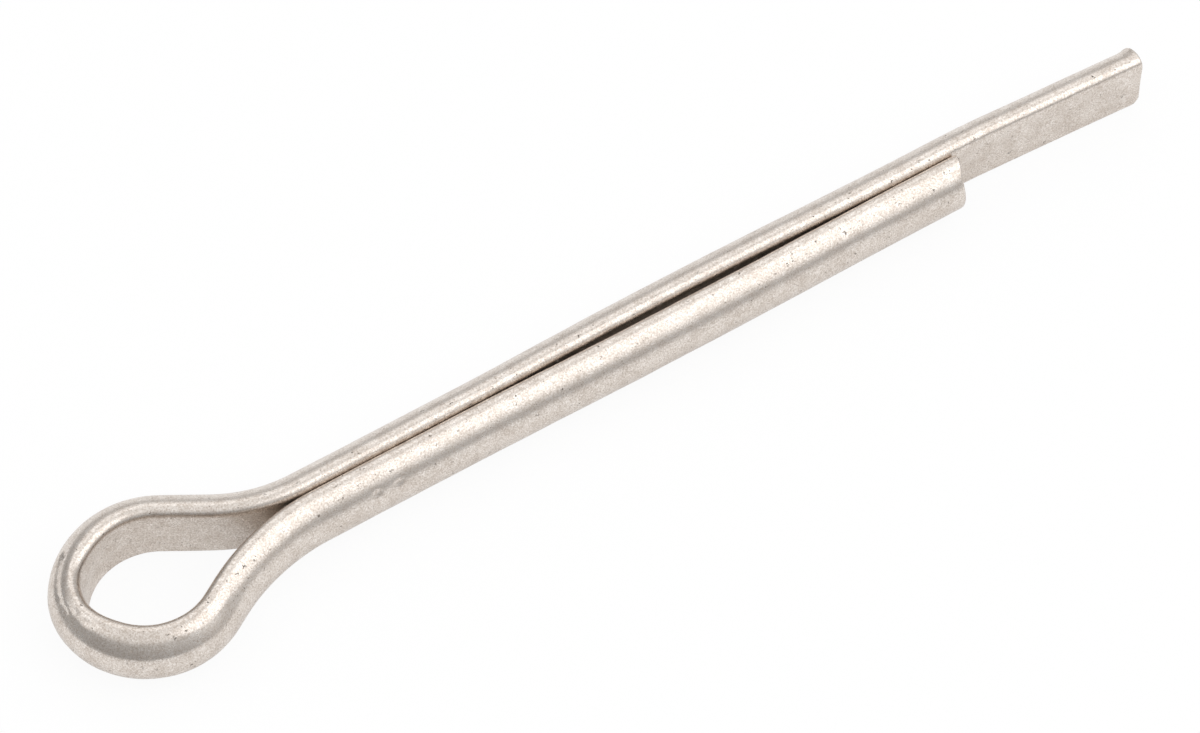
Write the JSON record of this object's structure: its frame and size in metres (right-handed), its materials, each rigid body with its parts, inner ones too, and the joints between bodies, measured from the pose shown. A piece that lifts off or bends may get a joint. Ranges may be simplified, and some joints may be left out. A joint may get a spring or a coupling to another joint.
{
  "type": "split pin",
  "caption": "Split pin (cotter pin) of half-round steel wire, folded into an open eye, with a long and a short prong lying together as a round shank.",
  "frame": {"origin": "on the axis of the shank, where the neck of the eye ends and the straight shank begins, at mid-height of the wire", "axes": "+X along the shank, from the eye towards the tips; +Y in the plane of the eye, to the side of the long prong; +Z normal to the plane of the eye"},
  "size_m": [0.0633, 0.0097, 0.0036],
  "materials": {
    "steel_wire": "dull zinc-plated drawn wire, satin, fine speckled grain"
  },
  "bodies": {
    "root": {"split_pin": "steel_wire"}
  },
  "joints": []
}
